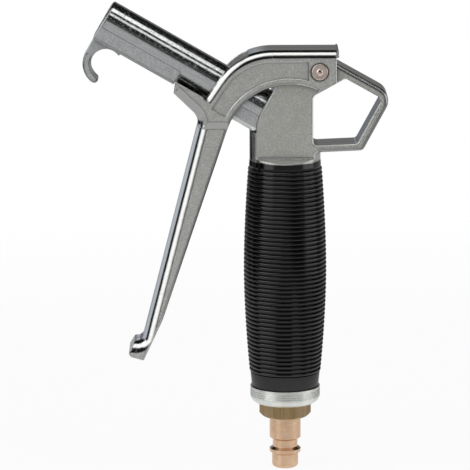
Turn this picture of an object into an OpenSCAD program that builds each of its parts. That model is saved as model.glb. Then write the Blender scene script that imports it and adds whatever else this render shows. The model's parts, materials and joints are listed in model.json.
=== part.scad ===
// Pneumatic air duster: a cast blow gun with a flat head, a tilted barrel that
// ends in a hanging hook, an arched squeeze lever, a ribbed rubber grip and a
// brass quick-coupling plug. Millimetres. +Z runs up the handle, the barrel
// leans towards -X, and the origin is the centre of the plug's tip.

/* [Plug nipple] */
// Radius of the plug's tip
plug_tip_r = 5.0; // [4.4:0.05:5.4]
// Length of the tip below the locking ring
plug_tip_length = 5.3; // [4:0.1:7]
// Radius of the edge at the end of the tip
plug_tip_edge_r = 1.4; // [0.4:0.1:1.4]
// Outer radius of the locking ring
plug_ring_r = 5.95; // [5.6:0.05:6.6]
// Width of the locking ring's crest
plug_ring_width = 1.1; // [0.6:0.1:2]
// Length of each cone beside the locking ring and the shoulder
plug_cone_length = 0.9; // [0.5:0.1:1.6]
// Radius of the locking groove
plug_groove_r = 4.75; // [4.3:0.05:5.2]
// Length of the locking groove
plug_groove_length = 2.7; // [1.5:0.1:4]
// Radius of the shoulder above the groove
plug_shoulder_r = 5.95; // [5.6:0.05:6.6]
// Length of the shoulder up to the hexagon
plug_shoulder_length = 8.5; // [5:0.1:14]
// Radius of the air bore through the plug
plug_bore_r = 3.3; // [2:0.1:3.8]
// Width of the hexagon across its flats
hex_flats = 17; // [14.5:0.5:21]
// Length of the hexagon
hex_length = 5.3; // [3:0.1:9]
// Radius of the stud that screws into the end bush
stud_r = 6.55; // [5.6:0.05:6.9]
// Length of that stud
stud_length = 11; // [6:0.5:14]

/* [End bush] */
// Outer radius of the end bush
bush_r = 13.25; // [12.4:0.05:14.5]
// Length of the bush below the sleeve
bush_length = 6.5; // [5:0.1:12]
// Radius of its rounded lower edge
bush_edge_r = 3.0; // [1:0.1:3.4]
// Number of fine turned grooves round it
bush_groove_count = 3; // [0:1:4]
// Depth of each turned groove
bush_groove_depth = 0.22; // [0.1:0.02:0.5]
// Length of the thread that holds the bush in the handle tube
bush_thread_length = 9; // [5:0.5:14]

/* [Rubber sleeve] */
// Length of the ribbed rubber sleeve
sleeve_length = 87.3; // [75:0.1:120]
// Radius of the sleeve at its belly
sleeve_belly_r = 15.7; // [15:0.1:18]
// Amount by which the top end is slimmer than the belly
sleeve_top_drop = 1.95; // [0.5:0.05:2.2]
// Amount by which the bottom end is slimmer than the belly
sleeve_bottom_drop = 2.75; // [0.5:0.05:2.9]
// Height of the plain band at the top
sleeve_top_band = 1.7; // [0.5:0.1:6]
// Height of the plain band at the bottom
sleeve_bottom_band = 5.6; // [1:0.1:12]
// Distance from rib to rib
rib_pitch = 1.65; // [1.3:0.05:4]
// Height of each rib above its groove
rib_depth = 0.55; // [0.2:0.05:0.9]

/* [Handle tube and neck] */
// Outer radius of the handle tube inside the sleeve
tube_r = 11.4; // [10.6:0.1:11.8]
// Radius of the tube's bore
tube_bore_r = 9.0; // [8:0.1:10]
// Radius of the round neck above the sleeve
neck_r = 13.4; // [12.4:0.1:14.5]
// Thickness of the flat head and of the hanging loop
plate_t = 15.1; // [14.6:0.1:16]
// Height of the sloping ledge between the neck and the flat faces
ledge_rise = 1.5; // [0.5:0.1:3]

/* [Barrel] */
// Tilt of the barrel above the horizontal
barrel_tilt = 30; // [20:1:34]
// Height at which the barrel's axis crosses the handle's, above the sleeve
barrel_rise = 14.6; // [13.5:0.1:16]
// Radius of the barrel
barrel_r = 7.7; // [7.3:0.05:7.7]
// Length of the barrel's axis from the crossing to the front face
barrel_reach = 78.2; // [70:0.1:120]
// Radius of the air bore
barrel_bore_r = 3.0; // [2:0.1:3.6]
// Radius of the rounded front edge
barrel_edge_r = 0.9; // [0.3:0.1:1.5]
// Distance along the axis from the crossing to the head's front face
head_face_reach = 10.1; // [9.6:0.1:12]
// Width of the keel under the barrel
keel_w = 14.8; // [11:0.1:15]
// Depth of the front keel below the axis
keel_front_drop = 7.8; // [7.75:0.05:7.9]
// Radius along the front keel's lower edges
keel_edge_r = 1.0; // [0.4:0.1:2]
// Length of bare barrel above the lever's nose
keel_notch_length = 17.4; // [14:0.1:22]
// Depth of the rear keel below the axis
keel_rear_drop = 8.35; // [7.9:0.05:8.55]
// Chamfer along the rear keel's lower edges
keel_chamfer = 1.7; // [0.5:0.1:2.5]
// Radius of the spigot that fits in the head
spigot_r = 5.4; // [4.6:0.1:5.6]
// Length of the spigot
spigot_length = 5.4; // [4:0.1:6]

/* [Hook] */
// Inner radius of the hanging hook
hook_inner_r = 5.65; // [4:0.05:8]
// Thickness of the hook in its own plane
hook_t = 3.1; // [2:0.1:4]
// Width of the hook across the barrel
hook_w = 5.6; // [4:0.1:9]
// Depth of the hook's centre below the barrel's axis
hook_drop = 14.2; // [13.4:0.1:18]
// Angle through which the hook curls back under
hook_curl = 82; // [40:1:120]

/* [Nozzle] */
// Radius of the nozzle insert
nozzle_r = 4.5; // [3.8:0.1:5.2]
// Length of the nozzle insert
nozzle_length = 8.7; // [5:0.1:14]
// Radius of the outlet hole
nozzle_hole_r = 1.25; // [0.6:0.05:1.8]

/* [Hanging loop] */
// Width of the loop's hole
loop_w = 25.7; // [18:0.1:40]
// Height of the loop's hole
loop_h = 25.5; // [22:0.1:27]
// Distance from the handle's axis to the hole
loop_x = 10.5; // [9.6:0.1:11.2]
// Height of the hole's lowest corner above the sleeve
loop_rise = 6.4; // [5.8:0.1:8]
// Width of the upper and right bars
loop_bar = 3.2; // [2.4:0.1:5]
// Width of the lower bar
loop_sill = 2.7; // [2:0.1:3.4]
// Radius of the loop's long outer corner
loop_outer_r = 5.6; // [3:0.1:8]
// Radius of the hole's corners
loop_inner_r = 1.6; // [0.8:0.1:3]
// Radius that rounds the loop's edges
loop_edge_r = 1.2; // [0.4:0.1:1.3]

/* [Pivot] */
// Distance from the handle's axis to the lever's pivot
pivot_x = 12.87; // [11:0.01:14]
// Height of the pivot above the sleeve
pivot_rise = 34.6; // [33.5:0.1:36]
// Outer radius of the pivot bush
pivot_r = 2.0; // [1.5:0.05:2.2]
// Radius of the bush's rolled head
pivot_head_r = 3.05; // [2.6:0.05:3.4]
// Height of the rolled head above the cheek
pivot_head_t = 0.8; // [0.4:0.05:1.2]
// Radius of the inner rivet
rivet_r = 1.2; // [0.8:0.05:1.3]
// Radius of the lug round the pivot
lug_r = 4.2; // [3.8:0.1:4.3]

/* [Lever] */
// Height of the arch's crest above the pivot
crest_rise = 8.0; // [7.2:0.1:9]
// Thickness of the lever's web
web_t = 2.5; // [1.8:0.1:2.6]
// Thickness of each cheek
cheek_t = 1.85; // [1.4:0.05:3]
// Radius of the arch's crest where it bends down
arch_r = 24.7; // [20:0.1:26]
// Slope of the arch's front leg
leg_slope = 56; // [50:1:62]
// Radius of the cheeks' lower edge under the arch
cheek_arc_r = 24.7; // [20:0.1:27]
// Radius that rounds the arch's outer edges
arch_edge_r = 2.7; // [1:0.1:3]
// Radius that rounds the outer edges of nose and blade
blade_edge_r = 3.8; // [1:0.1:4]
// Radius that softens the inner edges of the cheeks
soft_edge_r = 0.9; // [0.3:0.1:1.2]
// Length of the lever's back edge from the heel up to the corner of the arch
back_length = 104.7; // [85:0.1:130]
// Lean of the back edge from the vertical
back_lean = 18.7; // [17:0.1:20]
// Length of the heel, from the sole up to the back edge
heel_length = 17.1; // [12:0.1:20]
// Lean of the heel from the vertical
heel_lean = 25.1; // [22:0.1:28]
// Lean of the blade's front face from the vertical
blade_lean = 14.5; // [12:0.5:16.5]
// Amount by which each side of the blade is set in from the cheek
blade_inset = 0.7; // [0.1:0.1:1]
// Distance from the crossing to the tip of the nose along the barrel
nose_reach = 43.6; // [42:0.1:46]
// Angle at which the nose's underside flares away from the barrel
nose_flare = 14; // [8:1:18]
// Radius in the armpit between nose and blade
armpit_r = 5.5; // [3:0.1:8]
// Height of the toe's upper face above the sole
toe_height = 7.0; // [6:0.1:9]
// Distance that the toe reaches in front of the sole's rear corner
toe_reach = 5.8; // [5:0.1:8]
// Depth of the recessed panel in each cheek
panel_depth = 0.4; // [0.1:0.05:0.7]
// Swing of the lever from rest to full squeeze
lever_swing = 12; // [6:0.5:12]

/* [Valve] */
// Offset of the valve's axis from the handle's, towards the pivot
valve_x = 2.0; // [1.4:0.1:2.4]
// Radius of the valve pin
pin_r = 2.0; // [1.5:0.05:2.1]
// Radius of the valve stem
stem_r = 1.2; // [0.8:0.05:1.4]
// Radius of the chamber above the valve seat
chamber_r = 4.2; // [3.6:0.1:4.6]
// Outer radius of the valve seat
seat_r = 5.2; // [4.8:0.1:5.8]
// Bore radius of the valve seat
seat_bore_r = 2.9; // [2.2:0.1:3.2]
// Height of the valve seat
seat_height = 4.0; // [3:0.1:5]
// Radius of the poppet
poppet_r = 5.0; // [4.4:0.1:6]
// Thickness of the poppet
poppet_t = 2.0; // [1.2:0.1:3]
// Thickness of the rubber poppet seal
poppet_seal_t = 2.0; // [1:0.1:3]
// Length of the valve spring at rest
spring_length = 18; // [13:0.5:26]
// Mean radius of the valve spring
spring_r = 3.8; // [3.4:0.1:4.4]
// Radius of the spring's wire
spring_wire_r = 0.4; // [0.25:0.05:0.5]
// Number of turns in the valve spring
spring_turns = 7; // [4:1:9]

/* [Hidden] */
$fn = 96;

// How far a cut runs past the face that it opens
overrun = 0.5;
// Free space round a shaft that turns or slides
running_gap = 0.05;
// Free space between the lever's cheeks and the flat head
cheek_gap = 0.25;
// Free space left under a face that another piece stops against
rest_gap = 0.05;

// Heights up the handle
hex_z = plug_tip_length + plug_cone_length + plug_ring_width + plug_cone_length
    + plug_groove_length + plug_cone_length + plug_shoulder_length;
bush_z = hex_z + hex_length;
sleeve_z = bush_z + bush_length;
head_z = sleeve_z + sleeve_length;
crossing = [0, head_z + barrel_rise];
pivot = [pivot_x, head_z + pivot_rise];

// Directions along and square to the barrel, in the XZ plane
along = [-cos(barrel_tilt), sin(barrel_tilt)];
above = [sin(barrel_tilt), cos(barrel_tilt)];
function on_barrel(reach, rise) = crossing + along * reach + above * rise;

// Outlines. A path is a list of [corner, radius], with the material on its left.
function unit(v) = v / norm(v);
function left_of(d) = [-d[1], d[0]];
function meet(p, d, q, e) = p + d * (cross(q - p, e) / cross(d, e));
function corner(path, i) = path[(i + len(path)) % len(path)][0];
function corner_r(path, i) = path[(i + len(path)) % len(path)][1];
function way_in(path, i) = unit(corner(path, i) - corner(path, i - 1));
function way_out(path, i) = way_in(path, i + 1);
function side(path, i) = sign(cross(way_in(path, i), way_out(path, i)));
function bend(path, i) = acos(max(-1, min(1, way_in(path, i) * way_out(path, i))));
function setback(path, i) = corner_r(path, i) * tan(bend(path, i) / 2);
function arc_start(path, i) = corner(path, i) - way_in(path, i) * setback(path, i);
function arc_end(path, i) = corner(path, i) + way_out(path, i) * setback(path, i);
function arc_centre(path, i) =
    arc_start(path, i) + left_of(way_in(path, i)) * corner_r(path, i) * side(path, i);

// What lies between a sharp corner and its arc
module corner_chip(path, i) {
    c = arc_centre(path, i);
    v = corner(path, i);
    difference() {
        polygon([arc_start(path, i), v + unit(v - c) * overrun, arc_end(path, i)]);
        translate(c) circle(r = corner_r(path, i));
    }
}

module outline(path) {
    last = len(path) - 1;
    difference() {
        polygon([for (i = [0 : last])
            each corner_r(path, i) > 0 && side(path, i) < 0
                ? [arc_start(path, i), arc_end(path, i)] : [corner(path, i)]]);
        for (i = [0 : last])
            if (corner_r(path, i) > 0 && side(path, i) > 0) corner_chip(path, i);
            else if (corner_r(path, i) > 0) translate(arc_centre(path, i)) circle(r = corner_r(path, i));
    }
}

// A slab of the given thickness, centred on the XZ plane
module slab(t) rotate([90, 0, 0]) linear_extrude(height = t, center = true) children();

// What a rounded edge leaves out, with the sharp edge at the origin and the material
// below and to the left. Its arc meets each face at a slight angle.
edge_ease = 1.25;
module edge_chip(r) difference() {
    translate([-r * edge_ease, -r * edge_ease]) square(r * edge_ease + overrun);
    translate([-r * edge_ease, -r * edge_ease]) circle(r = r * norm([edge_ease, edge_ease - 1]));
}

// Cutter that rounds both side edges along the straight from corner i to i + 1, and on
// past its end where a length is given
module round_straight(path, i, edge_r, half_w, past = 0) {
    a = arc_end(path, i);
    b = arc_start(path, i + 1);
    d = unit(b - a);
    before = corner_r(path, i) > 0 ? 0 : overrun;
    after = corner_r(path, i + 1) > 0 ? past : overrun;
    translate([a[0], 0, a[1]]) rotate([0, -atan2(d[1], d[0]), 0])
        for (flip = [0, 1]) mirror([0, flip, 0])
            translate([-before, half_w, 0]) rotate([90, 0, 90])
                linear_extrude(height = norm(b - a) + before + after) mirror([0, 1]) edge_chip(edge_r);
}

// Cutter that rounds both side edges round the arc at corner i. It is a touch larger than
// the straight cutters and slips a little way over each of them.
arc_slip = 0.05;
arc_growth = 0.075;
module round_arc(path, i, edge_r, half_w) {
    c = arc_centre(path, i);
    s = side(path, i);
    r = corner_r(path, i);
    slip = 2 * asin(arc_slip / (2 * r));
    first = s > 0 ? arc_start(path, i) - c : arc_end(path, i) - c;
    translate([c[0], 0, c[1]]) rotate([90, 0, 0]) rotate([0, 0, atan2(first[1], first[0]) - slip])
        for (flip = [0, 1]) mirror([0, 0, flip])
            rotate_extrude(angle = bend(path, i) + 2 * slip)
                translate([r, half_w]) mirror([s > 0 ? 0 : 1, 0]) edge_chip(edge_r + arc_growth);
}

// Rounds the edges of a run of straights, with the arcs between them
module round_run(path, first, last, edge_r, half_w) {
    for (i = [first : last]) round_straight(path, i, edge_r, half_w);
    if (last > first)
        for (i = [first + 1 : last])
            if (corner_r(path, i) > 0) round_arc(path, i, edge_r, half_w);
}

// Places children whose X runs forward along the barrel and whose Z runs above it
module in_barrel(reach = 0)
    translate([crossing[0], 0, crossing[1]]) rotate([0, barrel_tilt, 0]) rotate([0, 0, 180])
        translate([reach, 0, 0]) children();

// A round bar along the barrel, from one reach to another
module barrel_bar(from, to, r) in_barrel(from) rotate([0, 90, 0]) cylinder(r = r, h = to - from);

// A turned ring of round section, lying flat
module o_ring(r, section_r) rotate_extrude() translate([r, 0]) circle(r = section_r, $fn = 32);

// Hanging loop: corners of its hole, as shares of its width and height
loop_hole_shares = [[0, 0], [0.638, 0.027], [1, 0.698], [0.467, 1], [0, 0.737]];
loop_hole = [for (s = loop_hole_shares) [loop_x + s[0] * loop_w, head_z + loop_rise + s[1] * loop_h]];
loop_hole_path = [for (i = [4 : -1 : 0]) [loop_hole[i], loop_inner_r]];
function outside(i, bar) = loop_hole[i] - left_of(unit(loop_hole[(i + 1) % 5] - loop_hole[i])) * bar;
function hole_way(i) = unit(loop_hole[(i + 1) % 5] - loop_hole[i]);
loop_low_corner = meet(outside(0, loop_sill), hole_way(0), outside(1, loop_bar), hole_way(1));
loop_far_corner = meet(outside(1, loop_bar), hole_way(1), outside(2, loop_bar), hole_way(2));

// Flat head
plate_half = plate_t / 2;
neck_rim = 0.4;
neck_flat_inset = 0.3;
neck_flat_x = sqrt(neck_r * neck_r - plate_half * plate_half) - neck_flat_inset;
loop_low_r = 2.2;
neck_fillet_r = 1.5;
head_front_r = 17;
head_front_rise = 11.05;
head_front_edge_r = 1;
head_top_rise = 34.2;
lug_edge_r = 3.4;
lug_half_w = 3.6;
gland_seat_edge_x = 7.9;
head_front_top = on_barrel(head_face_reach, head_front_rise);
lug_top = pivot[1] + lug_r;
head_path = [
    [[-neck_flat_x, head_z], 0],
    [[neck_flat_x, head_z], 0],
    [meet([neck_flat_x, head_z], [0, 1], loop_low_corner, hole_way(0)), neck_fillet_r],
    [loop_low_corner, loop_low_r],
    [loop_far_corner, loop_outer_r],
    [meet(loop_far_corner, hole_way(2), [0, lug_top], [1, 0]), lug_edge_r],
    [[pivot[0] - lug_half_w, lug_top], lug_edge_r],
    [[gland_seat_edge_x, head_z + head_top_rise], 0],
    [[head_front_top[0], head_z + head_top_rise], head_front_edge_r],
    [head_front_top, head_front_edge_r],
    [meet(head_front_top, above, [-neck_flat_x, head_z], [0, 1]), head_front_r]
];

// Valve train, from the top of the pin to the foot of the spring
pin_gap_top = pivot[1] + crest_rise - web_t - rest_gap;
pin_dome_r = crest_rise - web_t - rest_gap;
stroke = (pivot_x - valve_x) * tan(lever_swing);
gland_flange_r = 3.6;
gland_flange_t = 1.2;
gland_r = 3.1;
gland_length = 6;
gland_ring_section_r = 0.5;
gland_ring_space = 1.4;
gland_top_z = head_z + head_top_rise;
gland_foot_z = gland_top_z - gland_length;
chamber_top_z = head_z + barrel_rise + barrel_r - pin_r;
seat_depth = 1.5;
seat_foot_z = head_z - seat_depth;
seat_lip_height = 0.6;
seat_lip_t = 0.7;
seal_top_z = seat_foot_z - seat_lip_height;
poppet_top_z = seal_top_z - poppet_seal_t;
poppet_foot_z = poppet_top_z - poppet_t;
nut_flats = 4.5;
nut_t = 2;
stem_tail = 0.8;
retainer_z = poppet_foot_z - spring_length;
retainer_t = 3;
retainer_hole_r = 1.7;
retainer_hole_count = 6;
retainer_hole_place_r = (tube_bore_r + spring_r) / 2;
retainer_centre_r = 2.2;
pin_foot_z = chamber_top_z + rest_gap;

// Barrel
spigot_start = head_face_reach - spigot_length;
barrel_ring_section_r = 0.55;
barrel_ring_reach = spigot_start + spigot_length / 2;
keel_front_start = nose_reach + rest_gap + running_gap;
keel_rear_end = keel_front_start - keel_notch_length;
nozzle_recess = 0.3;
nozzle_start = barrel_reach - nozzle_recess - nozzle_length;
nozzle_lead_length = 5;
hook_outer_r = hook_inner_r + hook_t;
hook_setback = 0.2;
hook_reach = barrel_reach - hook_outer_r - hook_setback;
hook_end_share = 0.97;
hook_web_share = 0.98;
hook_edge_r = 0.8;
hook_root_length = 3.2;

module head_plate(t) slab(t) outline(head_path);

module neck() {
    keel_floor = on_barrel(0, -keel_rear_drop);
    axis_z = meet(keel_floor, along, [0, head_z], [0, 1])[1];
    front_z = meet(keel_floor, along, [-neck_r, head_z], [0, 1])[1];
    ledge_slope = (ledge_rise - neck_rim) / (neck_r - plate_half);
    wide = neck_r + overrun;
    intersection() {
        translate([0, 0, head_z]) cylinder(r = neck_r, h = front_z - head_z);
        slab(2 * wide) polygon([
            [-wide, head_z - overrun], [wide, head_z - overrun], [wide, loop_hole[0][1]],
            [0, axis_z], [-wide, front_z]
        ]);
        rotate([90, 0, 90]) linear_extrude(height = 2 * wide, center = true) polygon([
            [-wide, head_z - overrun], [wide, head_z - overrun],
            [wide, head_z + neck_rim - overrun * ledge_slope],
            [plate_half, head_z + ledge_rise], [plate_half, front_z],
            [-plate_half, front_z], [-plate_half, head_z + ledge_rise],
            [-wide, head_z + neck_rim - overrun * ledge_slope]
        ]);
    }
}

module housing() color("silver") difference() {
    union() {
        difference() {
            union() {
                head_plate(plate_t);
                neck();
            }
            slab(plate_t + 2 * overrun) outline([for (i = [4 : -1 : 0]) loop_hole_path[i]]);
            round_run(head_path, 2, 4, loop_edge_r, plate_half);
        }
        translate([0, 0, sleeve_z]) cylinder(r = tube_r, h = sleeve_length);
    }
    // bore of the handle tube, valve seat pocket and air chamber
    translate([0, 0, sleeve_z - overrun])
        cylinder(r = tube_bore_r, h = seat_foot_z - sleeve_z + overrun);
    translate([valve_x, 0, seat_foot_z - overrun]) cylinder(r = seat_r, h = seat_height + overrun);
    translate([valve_x, 0, seat_foot_z]) cylinder(r = chamber_r, h = chamber_top_z - seat_foot_z);
    // bore of the pin, with the gland's pocket above it
    translate([valve_x, 0, chamber_top_z - overrun])
        cylinder(r = pin_r + cheek_gap, h = gland_top_z - chamber_top_z);
    translate([valve_x, 0, gland_foot_z - gland_ring_space])
        cylinder(r = gland_r, h = gland_length + gland_ring_space + overrun);
    // socket of the barrel's spigot and the passage behind it
    barrel_bar(spigot_start, barrel_reach, spigot_r);
    barrel_bar(0, barrel_reach, barrel_bore_r);
    // bore of the lever's pivot
    translate([pivot[0], 0, pivot[1]]) rotate([90, 0, 0])
        cylinder(r = pivot_r + running_gap, h = plate_t + 2 * overrun, center = true);
}

// Section of the keel, as a bar along the barrel
module keel(from, to, drop) in_barrel(from)
    translate([0, -keel_w / 2, -drop]) cube([to - from, keel_w, drop]);

module keel_front() difference() {
    keel(keel_front_start, barrel_reach, keel_front_drop);
    in_barrel(keel_front_start - overrun) for (flip = [0, 1]) mirror([0, flip, 0])
        translate([0, keel_w / 2, -keel_front_drop]) rotate([90, 0, 90])
            linear_extrude(height = barrel_reach) mirror([0, 1]) edge_chip(keel_edge_r);
}

module keel_rear() difference() {
    keel(0, keel_rear_end, keel_rear_drop);
    in_barrel() for (flip = [0, 1]) mirror([0, flip, 0])
        translate([-overrun, 0, 0]) rotate([90, 0, 90])
            linear_extrude(height = keel_rear_end + 2 * overrun) polygon([
                [keel_w / 2 - keel_chamfer, -keel_rear_drop],
                [keel_w / 2 + overrun, keel_chamfer - keel_rear_drop + overrun],
                [keel_w / 2 + overrun, -keel_rear_drop - overrun],
                [keel_w / 2 - keel_chamfer, -keel_rear_drop - overrun]
            ]);
}

// Section across the hook's bar, rounded at its four edges
module hook_section(k) scale(k) difference() {
    square([hook_t, hook_w], center = true);
    for (a = [0, 1]) for (b = [0, 1]) mirror([a, 0]) mirror([0, b])
        translate([hook_t / 2 - hook_edge_r, hook_w / 2 - hook_edge_r]) difference() {
            square(hook_edge_r + overrun);
            circle(r = hook_edge_r);
        }
}

// Hook in the barrel's plane: a curled bar with a button end and a web up to the keel
module hook() in_barrel() translate([hook_reach, 0, -hook_drop]) rotate([90, 0, 0]) {
    rotate([0, 0, -hook_curl]) rotate_extrude(angle = hook_curl)
        translate([hook_inner_r + hook_t / 2, 0]) hook_section(1);
    rotate([0, 0, -hook_curl]) translate([hook_inner_r + hook_t / 2, 0, 0])
        rotate_extrude() intersection() {
            hook_section(hook_end_share);
            translate([0, -hook_w]) square(2 * hook_w);
        }
    linear_extrude(height = hook_w * hook_web_share, center = true) difference() {
        polygon([
            [0, 0], [hook_outer_r - rest_gap, -hook_edge_r / 2],
            [hook_outer_r - rest_gap, hook_drop - barrel_r / 2],
            [-hook_root_length, hook_drop - barrel_r / 2],
            [-hook_root_length, hook_drop - keel_front_drop]
        ]);
        circle(r = hook_inner_r + rest_gap);
    }
}

module barrel() color("gainsboro") difference() {
    union() {
        difference() {
            union() {
                in_barrel() rotate([0, 90, 0]) rotate_extrude() difference() {
                    square([barrel_r, barrel_reach]);
                    translate([barrel_r - barrel_edge_r, barrel_reach - barrel_edge_r]) difference() {
                        square(barrel_edge_r + overrun);
                        circle(r = barrel_edge_r);
                    }
                }
                keel_front();
                keel_rear();
                hook();
            }
            head_plate(2 * neck_r);
        }
        barrel_bar(spigot_start, head_face_reach + overrun, spigot_r);
    }
    barrel_bar(0, barrel_reach + overrun, barrel_bore_r);
    barrel_bar(nozzle_start, barrel_reach + overrun, nozzle_r);
    // groove of the sealing ring
    in_barrel(barrel_ring_reach - barrel_ring_section_r - rest_gap) rotate([0, 90, 0]) difference() {
        cylinder(r = spigot_r + overrun, h = 2 * (barrel_ring_section_r + rest_gap));
        translate([0, 0, -overrun])
            cylinder(r = spigot_r - 2 * barrel_ring_section_r,
                h = 2 * (barrel_ring_section_r + rest_gap + overrun));
    }
}

module barrel_ring() color("dimgray")
    in_barrel(barrel_ring_reach) rotate([0, 90, 0])
        o_ring(spigot_r - barrel_ring_section_r, barrel_ring_section_r);

module nozzle_insert() color("goldenrod") in_barrel(nozzle_start) rotate([0, 90, 0]) difference() {
    cylinder(r = nozzle_r, h = nozzle_length);
    translate([0, 0, -overrun]) cylinder(r = nozzle_hole_r, h = nozzle_length + 2 * overrun);
    rotate_extrude() polygon([
        [0, -overrun], [barrel_bore_r, -overrun], [barrel_bore_r, 0],
        [nozzle_hole_r, nozzle_lead_length], [0, nozzle_lead_length]
    ]);
}

// Sleeve radius at a share of its length: a belly that slims towards both ends
sleeve_belly_share = 0.52;
sleeve_slim_power = 1.75;
function sleeve_r(share) = share < sleeve_belly_share
    ? sleeve_belly_r - sleeve_bottom_drop
        * pow((sleeve_belly_share - share) / sleeve_belly_share, sleeve_slim_power)
    : sleeve_belly_r - sleeve_top_drop
        * pow((share - sleeve_belly_share) / (1 - sleeve_belly_share), sleeve_slim_power);
rib_count = floor((sleeve_length - sleeve_top_band - sleeve_bottom_band) / rib_pitch);
// One rib: places along its pitch and heights above its groove, as shares
rib_shares = [[0.16, 0], [0.30, 0.75], [0.44, 1], [0.68, 1], [0.82, 0.75], [0.96, 0]];

module grip_sleeve() color("#202022") {
    ribs = [for (k = [0 : rib_count - 1]) for (s = rib_shares)
        let (z = sleeve_bottom_band + (k + s[0]) * rib_pitch)
        [sleeve_r(z / sleeve_length) - (1 - s[1]) * rib_depth, z]];
    band_inset = rib_depth / 2;
    translate([0, 0, sleeve_z]) rotate_extrude() polygon(concat(
        [[tube_r, 0], [sleeve_r(0) - band_inset, 0],
         [sleeve_r(sleeve_bottom_band / sleeve_length) - band_inset, sleeve_bottom_band]],
        ribs,
        [[sleeve_r(1 - sleeve_top_band / sleeve_length) - band_inset, sleeve_length - sleeve_top_band],
         [sleeve_r(1) - band_inset, sleeve_length], [tube_r, sleeve_length]]
    ));
}

bush_ring_section_r = 0.9;
bush_groove_pitch = (bush_length - bush_edge_r) / (bush_groove_count + 1);
nipple_ring_r = 8.4;
nipple_ring_t = 1.3;

module end_bush() color("lightgray") difference() {
    union() {
        translate([0, 0, bush_z]) rotate_extrude() difference() {
            square([bush_r, bush_length]);
            translate([bush_r - bush_edge_r, bush_edge_r]) difference() {
                translate([0, -bush_edge_r - overrun]) square(bush_edge_r + overrun);
                circle(r = bush_edge_r);
            }
            if (bush_groove_count > 0) for (k = [1 : bush_groove_count])
                translate([bush_r, bush_edge_r + (k - 0.5) * bush_groove_pitch])
                    circle(r = bush_groove_depth, $fn = 24);
        }
        translate([0, 0, sleeve_z - overrun]) cylinder(r = tube_bore_r, h = bush_thread_length + overrun);
    }
    translate([0, 0, bush_z - overrun])
        cylinder(r = stud_r, h = bush_length + bush_thread_length + 2 * overrun);
    translate([0, 0, bush_z - overrun]) cylinder(r = nipple_ring_r, h = nipple_ring_t + overrun);
    translate([0, 0, sleeve_z + bush_thread_length / 2]) rotate_extrude()
        translate([tube_bore_r - 2 * bush_ring_section_r, -bush_ring_section_r])
            square([2 * bush_ring_section_r + overrun, 2 * bush_ring_section_r]);
}

module bush_ring() color("dimgray") translate([0, 0, sleeve_z + bush_thread_length / 2])
    o_ring(tube_bore_r - bush_ring_section_r, bush_ring_section_r);

hex_chamfer = 0.9;

module plug_nipple() color("#c79a5b") {
    corner_reach = hex_flats / sqrt(3);
    chamfer_r = hex_flats / 2;
    difference() {
        union() {
            rotate_extrude() difference() {
                polygon([
                    [0, 0], [plug_tip_r, 0], [plug_tip_r, plug_tip_length],
                    [plug_ring_r, plug_tip_length + plug_cone_length],
                    [plug_ring_r, plug_tip_length + plug_cone_length + plug_ring_width],
                    [plug_groove_r, plug_tip_length + 2 * plug_cone_length + plug_ring_width],
                    [plug_groove_r, hex_z - plug_shoulder_length - plug_cone_length],
                    [plug_shoulder_r, hex_z - plug_shoulder_length],
                    [plug_shoulder_r, hex_z + overrun], [0, hex_z + overrun]
                ]);
                translate([plug_tip_r - plug_tip_edge_r, plug_tip_edge_r]) difference() {
                    translate([0, -plug_tip_edge_r - overrun]) square(plug_tip_edge_r + overrun);
                    circle(r = plug_tip_edge_r);
                }
            }
            intersection() {
                translate([0, 0, hex_z]) cylinder(r = corner_reach, h = hex_length, $fn = 6);
                translate([0, 0, hex_z]) rotate_extrude() polygon([
                    [0, 0], [chamfer_r, 0], [corner_reach + overrun, hex_chamfer + overrun],
                    [corner_reach + overrun, hex_length], [0, hex_length]
                ]);
            }
            translate([0, 0, bush_z - overrun]) cylinder(r = stud_r, h = stud_length + overrun);
        }
        translate([0, 0, -overrun]) cylinder(r = plug_bore_r, h = bush_z + stud_length + 2 * overrun);
    }
}

module nipple_ring() color("peru") translate([0, 0, bush_z]) difference() {
    cylinder(r = nipple_ring_r, h = nipple_ring_t);
    translate([0, 0, -overrun]) cylinder(r = stud_r, h = nipple_ring_t + 2 * overrun);
}

module on_valve(z) translate([valve_x, 0, z]) children();

module gland_bush() color("goldenrod") difference() {
    union() {
        on_valve(gland_foot_z) cylinder(r = gland_r, h = gland_length + gland_flange_t);
        on_valve(gland_top_z) cylinder(r = gland_flange_r, h = gland_flange_t);
    }
    on_valve(gland_foot_z - overrun)
        cylinder(r = pin_r + running_gap, h = gland_length + gland_flange_t + 2 * overrun);
}

module gland_ring() color("dimgray") on_valve(gland_foot_z - gland_ring_space / 2)
    o_ring((gland_r + pin_r + running_gap) / 2, gland_ring_section_r);

module valve_seat() color("goldenrod") on_valve(seat_foot_z) difference() {
    union() {
        cylinder(r = seat_r, h = seat_height);
        translate([0, 0, -seat_lip_height])
            cylinder(r = seat_bore_r + seat_lip_t, h = seat_lip_height + overrun);
    }
    translate([0, 0, -seat_lip_height - overrun])
        cylinder(r = seat_bore_r, h = seat_height + seat_lip_height + 2 * overrun);
}

module spring_retainer() color("goldenrod") translate([0, 0, retainer_z - retainer_t]) difference() {
    cylinder(r = tube_bore_r, h = retainer_t);
    translate([valve_x, 0, -overrun]) cylinder(r = retainer_centre_r, h = retainer_t + 2 * overrun);
    for (k = [0 : retainer_hole_count - 1])
        rotate([0, 0, (k + 0.5) * 360 / retainer_hole_count])
            translate([retainer_hole_place_r, 0, -overrun])
                cylinder(r = retainer_hole_r, h = retainer_t + 2 * overrun);
}

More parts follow.
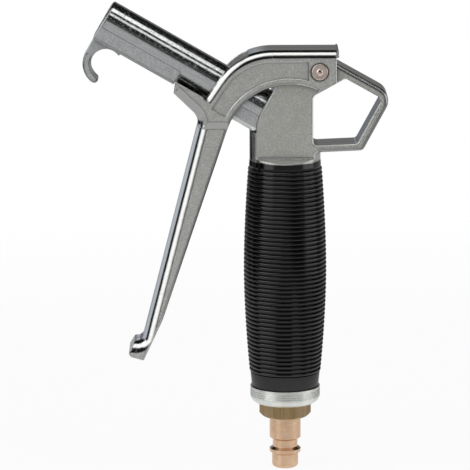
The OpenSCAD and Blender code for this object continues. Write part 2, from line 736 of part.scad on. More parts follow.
// Valve spring: a wire swept round a helix whose end turns lie closed
spring_sides = 8;
spring_steps = 16;
spring_rise = spring_length - 2 * spring_wire_r;
function spring_share(turn) =
    turn < 1 ? 0 : turn > spring_turns + 1 ? 1 : (turn - 1) / spring_turns;
function spring_z(turn) =
    spring_wire_r + (spring_rise - 4 * spring_wire_r) * spring_share(turn)
    + 2 * spring_wire_r * min(turn, 1) + 2 * spring_wire_r * max(0, turn - spring_turns - 1);
module valve_spring() color("slategray") {
    rings = (spring_turns + 2) * spring_steps;
    points = [for (k = [0 : rings]) for (j = [0 : spring_sides - 1])
        let (a = k * 360 / spring_steps, b = j * 360 / spring_sides,
             r = spring_r + spring_wire_r * cos(b))
        [r * cos(a), r * sin(a), spring_z(k / spring_steps) + spring_wire_r * sin(b)]];
    skin = [for (k = [0 : rings - 1]) for (j = [0 : spring_sides - 1])
        let (n = (j + 1) % spring_sides, low = k * spring_sides, high = low + spring_sides)
        each [[low + j, high + j, high + n], [low + j, high + n, low + n]]];
    caps = [[for (j = [0 : spring_sides - 1]) j],
            [for (j = [spring_sides - 1 : -1 : 0]) rings * spring_sides + j]];
    on_valve(retainer_z) polyhedron(points = points, faces = concat(skin, caps), convexity = 10);
}

// Valve pin, with a shallow dome centred at the pivot's height under the lever
module valve_pin() color("goldenrod") {
    on_valve(0) intersection() {
        translate([0, 0, pivot[1]]) sphere(r = pin_dome_r);
        translate([0, 0, pivot[1]]) cylinder(r = pin_r, h = crest_rise);
    }
    on_valve(pin_foot_z) cylinder(r = pin_r, h = pivot[1] - pin_foot_z);
    on_valve(poppet_foot_z - nut_t - stem_tail)
        cylinder(r = stem_r, h = pin_foot_z - poppet_foot_z + nut_t + stem_tail);
}

module valve_poppet() color("goldenrod") on_valve(poppet_foot_z) difference() {
    cylinder(r = poppet_r, h = poppet_t);
    translate([0, 0, -overrun]) cylinder(r = stem_r, h = poppet_t + 2 * overrun);
}

module poppet_seal() color("dimgray") on_valve(poppet_top_z) difference() {
    cylinder(r = poppet_r - seat_lip_t, h = poppet_seal_t);
    translate([0, 0, -overrun]) cylinder(r = stem_r, h = poppet_seal_t + 2 * overrun);
}

module poppet_nut() color("goldenrod") on_valve(poppet_foot_z - nut_t) difference() {
    cylinder(r = nut_flats / sqrt(3), h = nut_t, $fn = 6);
    translate([0, 0, -overrun]) cylinder(r = stem_r, h = nut_t + 2 * overrun);
}

// Lever: its side outline, run round with the material on the left
cheek_half = plate_half + cheek_gap + cheek_t;
lever_gap_half = plate_half + cheek_gap;
blade_half = cheek_half - blade_inset;
crest_z = pivot[1] + crest_rise;
web_end_reach = 7.25;
web_end_x = pivot[0] + web_end_reach;
cheek_end_reach = 6.3;
cheek_end_x = pivot[0] + cheek_end_reach;
arch_corner_reach = 30.8;
leg_way = [-cos(leg_slope), -sin(leg_slope)];
arch_corner = [pivot[0] - arch_corner_reach, crest_z];
cheek_top_drop = 6.1;
nose_lean = 1.6;
nose_floor_drop = barrel_r + rest_gap;
nose_under_drop = nose_floor_drop + web_t / cos(nose_flare);
nose_way = -along * cos(nose_flare) - above * sin(nose_flare);
back_corner_reach = 25.7;
back_corner_rise = 4.4;
back_corner = pivot + [-back_corner_reach, back_corner_rise];
back_way = [sin(back_lean), cos(back_lean)];
heel = back_corner - back_way * back_length;
sole = heel - heel_length * [sin(heel_lean), cos(heel_lean)];
heel_r = 30;
sole_w = 2.44;
blade_way = [sin(blade_lean), cos(blade_lean)];
blade_foot = sole - [sole_w, 0];
toe_top_reach = 3.4;
toe_tip_height = 2.7;
sole_reach = 4.9;
sole_rise = 1.4;
toe_corner_r = 0.8;
toe_cove_r = 2.7;
nose_bottom = on_barrel(nose_reach - nose_lean, -nose_under_drop - nose_lean * tan(nose_flare));
armpit = meet(nose_bottom, nose_way, blade_foot, blade_way);
cheek_fall = 24.9;
cheek_low_reach = 0.3;
cheek_fall_way = [cos(cheek_fall), -sin(cheek_fall)];
cheek_low = meet(back_corner, cheek_fall_way, [pivot[0] - cheek_low_reach, 0], [0, 1]);
cheek_end_drop = 3.6;
cheek_end_z = pivot[1] - cheek_end_drop;
nose_top = on_barrel(nose_reach, -cheek_top_drop);
lever_path = [
    [[web_end_x, cheek_end_z], 0],
    [[web_end_x, crest_z], soft_edge_r],
    [arch_corner, arch_r],
    [meet(arch_corner, leg_way, nose_top, along), 0],
    [nose_top, 0],
    [nose_bottom, 0],
    [armpit, armpit_r],
    [meet(blade_foot, blade_way, [0, sole[1] + toe_height], [1, 0]), toe_cove_r],
    [sole + [-toe_top_reach, toe_height], toe_corner_r],
    [sole + [-toe_reach, toe_tip_height], toe_corner_r],
    [sole + [-sole_reach, sole_rise], toe_corner_r],
    [sole, 0],
    [heel, heel_r],
    [back_corner, cheek_arc_r],
    [cheek_low, soft_edge_r]
];
arch_centre = arc_centre(lever_path, 2);

// Space inside the channel, with the window that the barrel passes through
window_angle = 112;
window_far_angle = 150;
module lever_hollow() {
    far = 3 * arch_r;
    inner_foot = blade_foot + [web_t / cos(blade_lean), 0];
    floor_tip = on_barrel(nose_reach, -nose_floor_drop);
    toe_face_way = unit(corner(lever_path, 8) - corner(lever_path, 9));
    toe_face = corner(lever_path, 9) + [toe_face_way[1], -toe_face_way[0]] * web_t;
    toe_roof = [0, sole[1] + toe_height - web_t];
    inner_armpit = meet(floor_tip, nose_way, inner_foot, blade_way);
    inner_cove = meet(inner_foot, blade_way, toe_roof, [1, 0]);
    inner_toe = meet(toe_face, toe_face_way, toe_roof, [1, 0]);
    polygon([
        arch_centre, [far, arch_centre[1]], [far, sole[1] - far],
        [toe_face[0] - toe_height, sole[1] - far], toe_face - toe_face_way * toe_height,
        inner_toe, inner_cove, inner_armpit, floor_tip - nose_way * far,
        arch_centre + far * [cos(window_far_angle), sin(window_far_angle)],
        arch_centre + far * [cos(window_angle), sin(window_angle)]
    ]);
    translate(arch_centre) circle(r = arch_r - web_t);
    translate([arch_centre[0], arch_centre[1] - web_t])
        square([far, arch_r]);
}

// Recessed panel in each cheek, which keeps a narrow border all round
panel_border = 1.5;
panel_flange = 2.5;
panel_right_reach = 4.2;
panel_right_x = pivot[0] - panel_right_reach;
panel_end_reach = 27.5;
panel_end_drop = 8.55;
panel_end = on_barrel(panel_end_reach, -panel_end_drop);
module panel_flat() {
    far = 3 * arch_r;
    inner_r = arch_r - arch_edge_r - panel_border;
    edge = arch_centre + inner_r * [cos(90 + leg_slope), sin(90 + leg_slope)];
    difference() {
        intersection() {
            union() {
                translate(arch_centre) circle(r = inner_r);
                translate(arch_centre) square([panel_right_x - arch_centre[0], inner_r]);
                polygon([arch_centre, edge, edge + leg_way * arch_r, edge + leg_way * arch_r + [far, 0]]);
            }
            polygon([panel_end, panel_end - along * far, panel_end + above * far, panel_end + along * far]);
            translate([panel_right_x - far, arch_centre[1] - far]) square([far, 2 * far]);
        }
        translate(arc_centre(lever_path, 13)) circle(r = cheek_arc_r + panel_flange);
    }
}

step_top_drop = 18.6;
step_foot_drop = 21.5;
step_slope = (step_foot_drop - step_top_drop) / blade_inset;
rivet_recess_r = pivot_head_r + 0.45;
rivet_recess_depth = 0.25;

rear_x = 2 * crest_rise;

module lever() color("lightsteelblue") difference() {
    intersection() {
        slab(2 * cheek_half) outline(lever_path);
        // the sides slope in towards the narrower blade
        rotate([90, 0, 90]) linear_extrude(height = 4 * back_length, center = true) polygon([
            [-blade_half, sole[1] - overrun], [blade_half, sole[1] - overrun],
            [blade_half, pivot[1] - step_foot_drop],
            [cheek_half + overrun, pivot[1] - step_top_drop + overrun * step_slope],
            [cheek_half + overrun, crest_z + overrun], [-cheek_half - overrun, crest_z + overrun],
            [-cheek_half - overrun, pivot[1] - step_top_drop + overrun * step_slope],
            [-blade_half, pivot[1] - step_foot_drop]
        ]);
    }
    round_run(lever_path, 1, 2, arch_edge_r, cheek_half);
    round_run(lever_path, 5, 6, blade_edge_r, cheek_half);
    round_straight(lever_path, 6, blade_edge_r, blade_half);
    round_arc(lever_path, 7, blade_edge_r, blade_half);
    round_straight(lever_path, 7, blade_edge_r, blade_half, toe_reach);
    round_run(lever_path, 11, 13, soft_edge_r, cheek_half);
    round_run(lever_path, 11, 12, soft_edge_r, blade_half);
    slab(2 * lever_gap_half) lever_hollow();
    for (flip = [0, 1]) mirror([0, flip, 0]) {
        translate([0, -cheek_half + panel_depth / 2 - overrun / 2, 0])
            slab(panel_depth + overrun) panel_flat();
        // the cheeks end a little before the web
        translate([cheek_end_x, lever_gap_half - cheek_t, cheek_end_z - rear_x])
            cube([rear_x, 3 * cheek_t, crest_z - arch_edge_r - cheek_end_z + rear_x]);
        translate([pivot[0], cheek_half, pivot[1]]) rotate([90, 0, 0])
            translate([0, 0, -overrun]) cylinder(r = rivet_recess_r, h = rivet_recess_depth + overrun);
    }
    translate([pivot[0], 0, pivot[1]]) rotate([90, 0, 0])
        cylinder(r = pivot_r, h = 3 * plate_t, center = true);
}

// Pivot bush: a tube whose ends are rolled over into rounded rings
module pivot_bush() color("#c9a08c") {
    seat = cheek_half - rivet_recess_depth;
    roll_r = pivot_head_t / 2;
    translate([pivot[0], 0, pivot[1]]) rotate([90, 0, 0]) {
        difference() {
            cylinder(r = pivot_r, h = 2 * seat, center = true);
            cylinder(r = rivet_r, h = 2 * seat + 2 * overrun, center = true);
        }
        for (flip = [0, 1]) mirror([0, 0, flip]) translate([0, 0, seat]) rotate_extrude() difference() {
            union() {
                translate([rivet_r, 0]) square([pivot_head_r - roll_r - rivet_r, pivot_head_t]);
                translate([pivot_head_r - roll_r, roll_r]) circle(r = roll_r, $fn = 48);
            }
            translate([rivet_r, roll_r]) square([pivot_r - rivet_r, pivot_head_t]);
        }
    }
}

// Inner rivet with a small dome at each end
rivet_dome_r = 1.9;
module pivot_rivet() color("#c9a08c") {
    end = cheek_half - rivet_recess_depth + pivot_head_t / 2;
    lift = sqrt(rivet_dome_r * rivet_dome_r - rivet_r * rivet_r);
    translate([pivot[0], 0, pivot[1]]) rotate([90, 0, 0]) {
        cylinder(r = rivet_r, h = 2 * end, center = true);
        for (flip = [0, 1]) mirror([0, 0, flip]) intersection() {
            translate([0, 0, end - lift]) sphere(r = rivet_dome_r);
            translate([0, 0, end]) cylinder(r = rivet_r, h = rivet_dome_r);
        }
    }
}

housing();
barrel();
barrel_ring();
nozzle_insert();
grip_sleeve();
end_bush();
bush_ring();
plug_nipple();
nipple_ring();
gland_bush();
gland_ring();
valve_seat();
spring_retainer();
valve_spring();
lever();
pivot_bush();
pivot_rivet();
valve_pin();
valve_poppet();
poppet_seal();
poppet_nut();
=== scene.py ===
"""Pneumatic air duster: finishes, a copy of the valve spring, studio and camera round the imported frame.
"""
import json
import math

import bpy
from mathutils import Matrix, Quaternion, Vector


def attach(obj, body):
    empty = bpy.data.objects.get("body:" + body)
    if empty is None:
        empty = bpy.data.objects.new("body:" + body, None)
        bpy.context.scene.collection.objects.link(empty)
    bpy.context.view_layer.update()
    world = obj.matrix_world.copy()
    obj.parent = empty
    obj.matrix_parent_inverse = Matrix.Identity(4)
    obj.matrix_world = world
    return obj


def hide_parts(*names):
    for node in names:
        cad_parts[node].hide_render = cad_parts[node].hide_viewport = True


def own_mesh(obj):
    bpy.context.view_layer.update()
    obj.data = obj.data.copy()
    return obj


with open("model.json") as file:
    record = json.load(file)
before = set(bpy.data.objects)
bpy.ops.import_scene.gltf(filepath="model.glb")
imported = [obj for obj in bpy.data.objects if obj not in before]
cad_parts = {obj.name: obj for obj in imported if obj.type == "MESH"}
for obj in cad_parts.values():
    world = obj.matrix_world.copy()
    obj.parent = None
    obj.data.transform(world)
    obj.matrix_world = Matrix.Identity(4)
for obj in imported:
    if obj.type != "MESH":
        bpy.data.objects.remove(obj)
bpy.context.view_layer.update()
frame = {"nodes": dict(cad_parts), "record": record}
nodes = frame["nodes"]
MM = 0.001


# Shader maths

BEVEL_SAMPLES = 4
SHELTER_SAMPLES = 8
SHELTER_LEVELS = (0.9, 0.35)


class Val:
    """A number in a node tree. Arithmetic with it adds Math nodes."""

    def __init__(self, graph, socket):
        self.graph = graph
        self.socket = socket

    def __add__(self, other):
        return self.graph.maths("ADD", self, other)

    def __sub__(self, other):
        return self.graph.maths("SUBTRACT", self, other)

    def __rsub__(self, other):
        return self.graph.maths("SUBTRACT", other, self)

    def __mul__(self, other):
        return self.graph.maths("MULTIPLY", self, other)

    __radd__ = __add__
    __rmul__ = __mul__

    def __abs__(self):
        return self.graph.maths("ABSOLUTE", self)

    def at_least(self, other):
        return self.graph.maths("MAXIMUM", self, other)

    def step(self, low, high):
        """0 up to low and 1 from high on, smooth between. It falls where low is above high."""
        node = self.graph.add("MapRange", {"interpolation_type": "SMOOTHSTEP"},
                              {"Value": self, "From Min": low, "From Max": high})
        return Val(self.graph, node.outputs["Result"])

    def window(self, low, high, soft):
        """1 between low and high and 0 outside, with soft edges. None leaves that side open."""
        if low is None:
            return self.step(high + soft, high - soft)
        if high is None:
            return self.step(low - soft, low + soft)
        return self.step(low - soft, low + soft) * self.step(high + soft, high - soft)


class Graph:
    """The nodes of one material or of the world."""

    def __init__(self, owner):
        owner.use_nodes = True
        self.tree = owner.node_tree
        self.tree.nodes.clear()

    def add(self, kind, settings=None, sockets=None):
        """A new node. Its settings come first, then each socket takes its value or its link."""
        node = self.tree.nodes.new("ShaderNode" + kind)
        for name, value in (settings or {}).items():
            setattr(node, name, value)
        for key, source in (sockets or {}).items():
            self.feed(node.inputs[key], source)
        return node

    def feed(self, target, source):
        if isinstance(source, Val):
            source = source.socket
        if isinstance(source, bpy.types.NodeSocket):
            self.tree.links.new(source, target)
        else:
            target.default_value = source

    def maths(self, operation, *terms):
        node = self.add("Math", {"operation": operation}, dict(enumerate(terms)))
        return Val(self, node.outputs[0])

    def vector_maths(self, operation, result, *terms):
        node = self.add("VectorMath", {"operation": operation}, dict(enumerate(terms)))
        return Val(self, node.outputs[result])

    def parts(self, vector):
        """x, y and z of a vector."""
        node = self.add("SeparateXYZ", sockets={0: vector})
        return [Val(self, out) for out in node.outputs]

    def blend(self, factor, first, second):
        """One shader, and the other where the factor is 1."""
        return self.add("MixShader", sockets={0: factor, 1: first, 2: second}).outputs[0]


class Finish(Graph):
    """A principled material. Its lengths are in millimetres."""

    def __init__(self, name, **fixed):
        self.material = bpy.data.materials.new(name)
        super().__init__(self.material)
        values = {key.replace("_", " "): value for key, value in fixed.items()}
        self.shader = self.add("BsdfPrincipled", sockets=values)
        self.add("OutputMaterial", sockets={"Surface": self.shader.outputs["BSDF"]})

    def set(self, key, source):
        self.feed(self.shader.inputs[key], source)

    def place(self):
        """x, y and z of the surface point."""
        spot = self.add("TexCoord").outputs["Object"]
        return [value * (1 / MM) for value in self.parts(spot)]

    def facing(self):
        """The true normal of the surface."""
        return self.add("NewGeometry").outputs["Normal"]

    def noise(self, per_mm, detail=2.0, stretch=(1, 1, 1), roughness=0.5):
        spot = self.add("TexCoord").outputs["Object"]
        scale = [share / MM for share in stretch]
        scaled = self.add("Mapping", sockets={"Vector": spot, "Scale": scale}).outputs[0]
        node = self.add("TexNoise", sockets={
            "Vector": scaled, "Scale": per_mm, "Detail": detail, "Roughness": roughness})
        return Val(self, node.outputs[0])

    def mix(self, factor, first, second):
        """One colour, and the other where the factor is 1."""
        node = self.add("Mix", {"data_type": "RGBA"}, {"Factor": factor, 6: first, 7: second})
        return node.outputs[2]

    def rounded(self, radius):
        """A normal that rounds off sharp edges, and how alike it is to the true one."""
        soft = self.add("Bevel", {"samples": BEVEL_SAMPLES}, {"Radius": radius * MM}).outputs[0]
        return soft, self.vector_maths("DOT_PRODUCT", "Value", soft, self.facing())

    def shelter(self, distance):
        """0 in the open, 1 where nearby surfaces close off this point."""
        node = self.add("AmbientOcclusion", {"samples": SHELTER_SAMPLES}, {"Distance": distance * MM})
        return Val(self, node.outputs["AO"]).step(*SHELTER_LEVELS)

    def bump(self, height, depth, after=None):
        node = self.add("Bump", sockets={"Distance": depth * MM, "Height": height})
        if after is not None:
            self.feed(node.inputs["Normal"], after)
        return node.outputs["Normal"]


def tone(tint, share=1.0):
    """A tint at this share of its lightness, as a socket's colour."""
    return [min(1, channel * share) for channel in tint] + [1]


def grey(level):
    return (level, level, level, 1)


# Castings. A pair of numbers is the two ends of a step: where it is 0, and where it is 1.

FLAT_SIDE = (0.986, 0.998)
FLAT_ROUGH = 0.55
POLISH = 0.05
RIM_POLISH = 0.2
GRAIN = {"per_mm": 1.7, "detail": 3.0, "roughness": 0.6}
GRAIN_MM = 0.03
PITS = (0.42, 0.62)
PIT_SHADE = 0.8
SPECKS = (0.58, 0.7)
MOTTLE = {"per_mm": 0.3, "detail": 4.0, "roughness": 0.6}
MOTTLE_LEVELS = (0.3, 0.7)
MOTTLE_SHADE = 0.72
MOTTLE_SHARE = 0.35
MOTTLE_ROUGH = 0.03
WAVE = {"per_mm": 0.22}
WAVE_MM = 0.06
PARTING_HALF_MM = (0.25, 0.1)
PARTING_SIDE = (0.35, 0.15)
PARTING_SHADE = 0.25
# rims: polished smoother, and lighter in colour as a painted highlight
RIM_ALIKE = (0.97, 0.9)
PAINTED_RIM_HIGHLIGHT = 1.15
# painted shade: the bands beside edges, the nooks and the upturned fillets get a darker colour
BESIDE_START = (0.9995, 0.995)
BESIDE_END = (0.9, 0.96)
BESIDE_SHARE = 0.7
NOOK_MM = 0.9
WIDE_NOOK_SHARE = 0.6
FILLET_START = (0.93, 0.96)
FILLET_END = (0.999, 0.993)
FILLET_UP = (0.03, 0.1)
DARK_SHADE = 0.15


def casting(name, tint, flat_tint, speckle, fillet_shade, wide_nook_mm, edge_mm):
    """Chromed casting: satin flat sides with a cast grain, and polished rounds that wave a little.
    Painted shade darkens nooks, upturned fillets and the bands beside edges, and a painted highlight
    lightens the rims.
    """
    f = Finish(name, Metallic=1.0)
    soft, alike = f.rounded(edge_mm)
    lean = f.parts(soft)
    side = abs(lean[1])
    flat = side.step(*FLAT_SIDE)
    rim_polish_and_highlight = alike.step(*RIM_ALIKE)
    beside = alike.step(*BESIDE_START) * alike.step(*BESIDE_END)
    fillet = side.step(*FILLET_START) * side.step(*FILLET_END) * lean[2].step(*FILLET_UP)
    middle = abs(f.place()[1]).step(*PARTING_HALF_MM)
    parting = middle * abs(f.parts(f.facing())[1]).step(*PARTING_SIDE)
    grain = f.noise(**GRAIN)
    pits = grain.step(*PITS)
    specks = grain.step(*SPECKS)
    mottle = f.noise(**MOTTLE).step(*MOTTLE_LEVELS)
    wave = f.noise(**WAVE)
    # painted shade: ambient occlusion darkens nooks, and upturned fillets and the bands beside edges
    # darken too
    nook = f.shelter(NOOK_MM).at_least(f.shelter(wide_nook_mm) * WIDE_NOOK_SHARE)
    dark = nook.at_least(fillet * fillet_shade).at_least(beside * BESIDE_SHARE)
    cast = f.mix(pits, tone(flat_tint, PIT_SHADE), tone(flat_tint))
    satin = f.mix(mottle * MOTTLE_SHARE, cast, tone(flat_tint, MOTTLE_SHADE))
    skin = f.mix(flat, tone(tint), satin)
    # painted highlight: the rims are lighter in colour
    skin = f.mix(rim_polish_and_highlight, skin, tone(tint, PAINTED_RIM_HIGHLIGHT))
    skin = f.mix(dark, skin, tone(tint, DARK_SHADE))
    f.set("Base Color", f.mix(parting, skin, tone(tint, PARTING_SHADE)))
    satin_rough = FLAT_ROUGH - POLISH - rim_polish_and_highlight * RIM_POLISH
    f.set("Roughness", flat * satin_rough + mottle * MOTTLE_ROUGH + POLISH)
    coarse = f.bump(pits * flat + specks * speckle * (1 - flat), GRAIN_MM, soft)
    f.set("Normal", f.bump(wave + parting, WAVE_MM, coarse))
    return f.material


# Rubber, turned metal and brass. A stretch is across, across and along the handle.

RIB_GROOVE_MM = 1.5
GROOVE_SHADE = 1.4
COAT_LEAST = 0.8
RUBBER_ROUGH = (0.5, 0.8)
RUBBER_BLACKS = (0.001, 0.005)
RUBBER_GRAIN_MM = 0.015
LATHE_RINGS = {"per_mm": 1.2, "detail": 3.0, "stretch": (0.03, 0.03, 3.0)}
LATHE_METAL = {"Metallic": 1.0, "Anisotropic": 0.7, "Anisotropic_Rotation": 0.25}
LATHE_RING_MM = 0.04
STAIN = (0.3, 0.75)
STAIN_SHADE = 0.85
HEXAGON_FOOT_MM = (20.2, 20.5)
HEXAGON_ROUGH = 0.12
HEXAGON_BRASS = ((0.36, 0.25, 0.12), (0.5, 0.35, 0.19))
PLUG_BRASS = ((0.74, 0.5, 0.33), (0.82, 0.58, 0.39))
PLUG_ROUGH = (0.2, 0.32)
PLUG_RING_MM = 0.03
MILLING = {"per_mm": 1.6, "detail": 3.0, "stretch": (1.0, 1.0, 0.04)}
MILLING_LEVELS = (0.3, 0.7)
MILLING_MM = 0.04
FINE_GRAIN = {"per_mm": 1.5, "detail": 3.0}
FINE_GRAIN_MM = 0.02
FINE_SHADE = 0.8
FINE_ROUGH = 0.1


def between(mask, ends):
    """A number that runs with the mask from one end to the other."""
    return mask * (ends[1] - ends[0]) + ends[0]


def grip_rubber():
    """Black rubber with a soft gloss on the crests of the ribs; the gloss is taken out of the grooves as
    painted shade.
    """
    f = Finish("grip_black", Metallic=0.0, Specular_IOR_Level=0.0, Coat_Roughness=0.12, Coat_IOR=1.58)
    grain = f.noise(per_mm=1.8, detail=3.0)
    broad = f.noise(per_mm=0.1)
    # painted shade: ambient occlusion takes the gloss out of the grooves
    groove_shaded_gloss = (1 - f.shelter(RIB_GROOVE_MM) * GROOVE_SHADE).at_least(0.0)
    f.set("Base Color", f.mix(broad, *[grey(level) for level in RUBBER_BLACKS]))
    f.set("Roughness", between(grain, RUBBER_ROUGH))
    f.set("Coat Weight", groove_shaded_gloss * between(broad, (COAT_LEAST, 1.0)))
    f.set("Normal", f.bump(grain, RUBBER_GRAIN_MM))
    return f.material


def turned(name, tint, rough):
    """Lathe-turned metal with fine rings round the handle's axis."""
    f = Finish(name, **LATHE_METAL)
    rings = f.noise(**LATHE_RINGS)
    stain = f.noise(per_mm=0.25, detail=3.0).step(*STAIN)
    f.set("Base Color", f.mix(stain, tone(tint, STAIN_SHADE), tone(tint)))
    f.set("Roughness", between(rings, rough))
    f.set("Normal", f.bump(rings, LATHE_RING_MM))
    return f.material


def plug_brass():
    """Salmon brass, turned on the plug, and darker with upright milling marks on the hexagon."""
    f = Finish("plug_brass", **LATHE_METAL)
    hexagon = f.place()[2].step(*HEXAGON_FOOT_MM)
    rings = f.noise(**LATHE_RINGS)
    milling = f.noise(**MILLING)
    stain = f.noise(per_mm=0.3, detail=3.0).step(*STAIN)
    plug = f.mix(stain, *[tone(tint) for tint in PLUG_BRASS])
    milled = f.mix(milling.step(*MILLING_LEVELS), *[tone(tint) for tint in HEXAGON_BRASS])
    f.set("Base Color", f.mix(hexagon, plug, milled))
    f.set("Roughness", hexagon * HEXAGON_ROUGH + between(rings, PLUG_ROUGH))
    f.set("Normal", f.bump(milling * hexagon, MILLING_MM, f.bump(rings, PLUG_RING_MM)))
    return f.material


def fine_grained(name, tint, rough, metallic):
    """A plain finish with a fine grain, for the small pieces."""
    f = Finish(name, Metallic=metallic)
    grain = f.noise(**FINE_GRAIN)
    f.set("Base Color", f.mix(grain, tone(tint, FINE_SHADE), tone(tint)))
    f.set("Roughness", grain * FINE_ROUGH + rough)
    f.set("Normal", f.bump(grain, FINE_GRAIN_MM))
    return f.material


finishes = {
    "body_casting": casting(
        "body_chrome", tint=(0.72, 0.725, 0.71), flat_tint=(0.93, 0.94, 0.88),
        speckle=0.2, fillet_shade=0.6, wide_nook_mm=3.0, edge_mm=1.3),
    "barrel_casting": casting(
        "barrel_chrome", tint=(0.73, 0.745, 0.745), flat_tint=(0.95, 0.97, 0.98),
        speckle=0.9, fillet_shade=0.0, wide_nook_mm=7.0, edge_mm=0.6),
    "lever_casting": casting(
        "lever_chrome", tint=(0.73, 0.735, 0.72), flat_tint=(0.93, 0.94, 0.9),
        speckle=0.15, fillet_shade=0.9, wide_nook_mm=3.0, edge_mm=0.7),
    "grip_rubber": grip_rubber(),
    "bush_metal": turned("bush_aluminium", tint=(0.92, 0.94, 0.9), rough=(0.25, 0.45)),
    "brass": plug_brass(),
    "rivet_metal": fine_grained("rivet_copper", (0.98, 0.82, 0.75), rough=0.12, metallic=1.0),
    "seal_rubber": fine_grained("seal_black", (0.03, 0.03, 0.03), rough=0.5, metallic=0.0),
    "seal_fibre": fine_grained("seal_fibre", (0.42, 0.2, 0.12), rough=0.7, metallic=0.0),
    "spring_steel": fine_grained("spring_wire", (0.55, 0.55, 0.55), rough=0.25, metallic=1.0),
}
for row in frame["record"]["subparts"]:
    mesh = nodes[row["node"]].data
    mesh.materials.clear()
    mesh.materials.append(finishes[row["material_slot"]])

# The valve spring is copied into an object of its own on the frame, and the imported one is hidden

wire = nodes["valve_spring"]
turns = bpy.data.objects.new("valve_spring_turns", wire.data.copy())
bpy.context.collection.objects.link(turns)
turns.matrix_world = wire.matrix_world
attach(turns, "frame")
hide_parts("valve_spring")
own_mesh(turns)

# Studio: a room of pale and dark panels that the metal shows, white to the camera.
# Turn is 0 in front of the object, -90 on its left and 180 behind, and swing is its size.
# Rise is above the horizon. Over runs from the front horizon through 90 overhead to 180 behind,
# and slanted is over with a panel's near edge higher on the right. Across is -1 left to 1 right.
# Each panel has its level, then its windows: what is measured, from, to, and its soft edge.

ROOM_LEVEL = 0.3
PANELS = [
    (0.4, [("rise", None, -5.5, 2.5)]),
    (0.1, [("turn", 14, 56, 4), ("rise", -40, -4, 2)]),
    (0.17, [("swing", 146, 185, 6), ("rise", -6, 20, 4)]),
    (0.62, [("turn", -152, -98, 4), ("rise", -4, 14, 3)]),
    (0.5, [("turn", -177, -148, 3), ("rise", 7, 15, 2)]),
    (1.25, [("turn", 60, 102, 4), ("rise", -18, 26, 4)]),
    (0.02, [("turn", -160, -98, 4), ("rise", -17, -5, 2)]),
    (0.01, [("turn", -96, -72, 3), ("rise", -16, 15, 4)]),
    (1.35, [("turn", -69, -38, 3), ("rise", -5, 22, 3)]),
    (1.35, [("turn", -108, -36, 4), ("rise", 20, 56, 4)]),
    (0.01, [("over", 90, 152, 3), ("rise", 20, 95, 5)]),
    (1.4, [("slanted", 56, None, 3), ("over", None, 91, 3), ("across", -0.5, 0.56, 0.045),
           ("rise", 44, 95, 4)]),
    (0.02, [("turn", -32, 30, 4), ("over", 5, 47, 3)]),
    (0.06, [("turn", -32, 30, 4), ("over", 2, 20, 4)]),
    (1.0, [("over", 38, 50, 2), ("turn", 24, 62, 3)]),
    (0.02, [("over", 52, 64, 2), ("turn", 28, 75, 4)]),
]
COOL_SIDE = [("turn", -176, -98, 6), ("rise", -20, 24, 6)]
COOL_RED = 0.06
COOL_BLUE = 0.12
SLANT = 20
TO_DEG = 180 / math.pi

world = bpy.data.worlds.new("studio")
bpy.context.scene.world = world
w = Graph(world)
way_x, way_y, way_z = w.parts(w.add("TexCoord").outputs["Generated"])
toward = 0 - way_y
over = w.maths("ARCTAN2", way_z, toward) * TO_DEG
turn = w.maths("ARCTAN2", way_x, toward) * TO_DEG
measures = {
    "turn": turn,
    "swing": abs(turn),
    "rise": w.maths("ARCSINE", way_z) * TO_DEG,
    "over": over,
    "slanted": over - way_x * SLANT,
    "across": way_x,
}


def shape(total, windows):
    """The total inside all of these windows, and 0 outside."""
    for measure, low, high, soft in windows:
        total = total * measures[measure].window(low, high, soft)
    return total


room = ROOM_LEVEL
for level, windows in PANELS:
    room = room + shape(level - room, windows)
cool = shape(room, COOL_SIDE)
tinted = w.add("CombineColor", sockets={0: room - cool * COOL_RED, 1: room, 2: room + cool * COOL_BLUE})
lit = w.add("Background", sockets={0: tinted.outputs[0]})
white = w.add("Background", sockets={0: grey(1)})
seen_first = w.add("LightPath").outputs["Is Camera Ray"]
w.add("OutputWorld", sockets={0: w.blend(seen_first, lit.outputs[0], white.outputs[0])})

SOFTBOX_MM = (-1100, -450, 950)
SOFTBOX_AIM_MM = (0, 0, 90)
SOFTBOX_SIZE_MM = (700, 500)
SOFTBOX_WATTS = 0.7
light = bpy.data.lights.new("softbox", "AREA")
light.shape = "RECTANGLE"
light.size = SOFTBOX_SIZE_MM[0] * MM
light.size_y = SOFTBOX_SIZE_MM[1] * MM
light.energy = SOFTBOX_WATTS
softbox = bpy.data.objects.new("softbox", light)
bpy.context.collection.objects.link(softbox)
softbox.location = Vector(SOFTBOX_MM) * MM
beam = (Vector(SOFTBOX_AIM_MM) - Vector(SOFTBOX_MM)).normalized()
softbox.rotation_euler = beam.to_track_quat("-Z", "Y").to_euler()
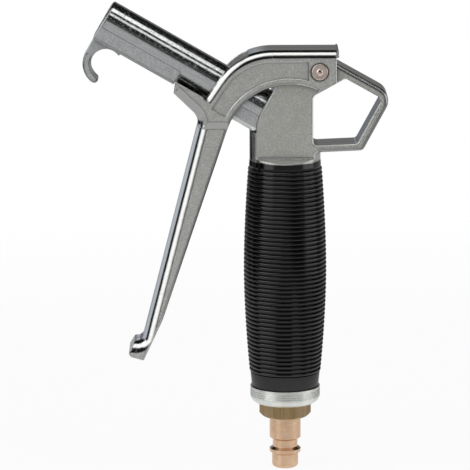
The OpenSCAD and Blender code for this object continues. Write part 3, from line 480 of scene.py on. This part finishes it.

# Floor: pale, white to the camera, with the object's soft shadow. It fades out towards its rim,
# and gloss shows it pale all over, with a painted glow close to the plug that only reflections see.

FLOOR_HALF = 0.6
FLOOR_Z = -0.0005
FLOOR_FADE = (0.25, 0.55)
FLOOR_LEVEL = 0.75
FLOOR_ROUGH = 0.9
GLOW_SEEN = 0.95
GLOW_SHOWN = 0.12
PAINTED_GLOW_BY_PLUG = 0.6
BY_PLUG = (0.13, 0.08)
floor_mesh = bpy.data.meshes.new("floor")
corners = [(x * FLOOR_HALF, y * FLOOR_HALF, FLOOR_Z) for x, y in ((-1, -1), (1, -1), (1, 1), (-1, 1))]
floor_mesh.from_pydata(corners, [], [(0, 1, 2, 3)])
floor = bpy.data.objects.new("floor", floor_mesh)
bpy.context.collection.objects.link(floor)
paper = bpy.data.materials.new("floor_paper")
p = Graph(paper)
sheet = p.add("BsdfPrincipled", sockets={"Base Color": grey(FLOOR_LEVEL), "Roughness": FLOOR_ROUGH})
glow = p.add("Emission")
clear = p.add("BsdfTransparent")
ray = p.add("LightPath").outputs
reach = p.vector_maths("LENGTH", "Value", p.add("TexCoord").outputs["Object"])
seen = Val(p, ray["Is Camera Ray"]) * GLOW_SEEN
shown = Val(p, ray["Is Glossy Ray"]).at_least(ray["Is Transmission Ray"])
# painted reflection: the floor glows brighter close to the plug, for glossy rays only
bright = reach.step(*BY_PLUG) * PAINTED_GLOW_BY_PLUG + GLOW_SHOWN
lit_sheet = p.blend(seen + shown * bright, sheet.outputs[0], glow.outputs[0])
p.add("OutputMaterial", sockets={0: p.blend(reach.step(*FLOOR_FADE), lit_sheet, clear.outputs[0])})
floor_mesh.materials.append(paper)

# Camera at the photograph's angle

CAM_TARGET = Vector((-18.94, 0, 90.4)) * MM
CAM_RISE = math.radians(11.3)
CAM_ROLL = math.radians(-0.2)
CAM_FAR = 1300 * MM
CAM_CLIP = 20
SENSOR_WIDTH = 36
PX_PER_MM = 2.64
FRAME_PX = 470
camera = bpy.data.cameras.new("camera")
eye = bpy.data.objects.new("camera", camera)
bpy.context.collection.objects.link(eye)
eye.location = CAM_TARGET + CAM_FAR * Vector((0, -math.cos(CAM_RISE), math.sin(CAM_RISE)))
aim = (CAM_TARGET - eye.location).to_track_quat("-Z", "Y")
eye.rotation_euler = (aim @ Quaternion((0, 0, 1), CAM_ROLL)).to_euler()
camera.sensor_width = SENSOR_WIDTH
camera.lens = camera.sensor_width * CAM_FAR / MM / (FRAME_PX / PX_PER_MM)
camera.clip_end = CAM_CLIP
bpy.context.scene.camera = eye
bpy.context.scene.view_settings.view_transform = "Standard"
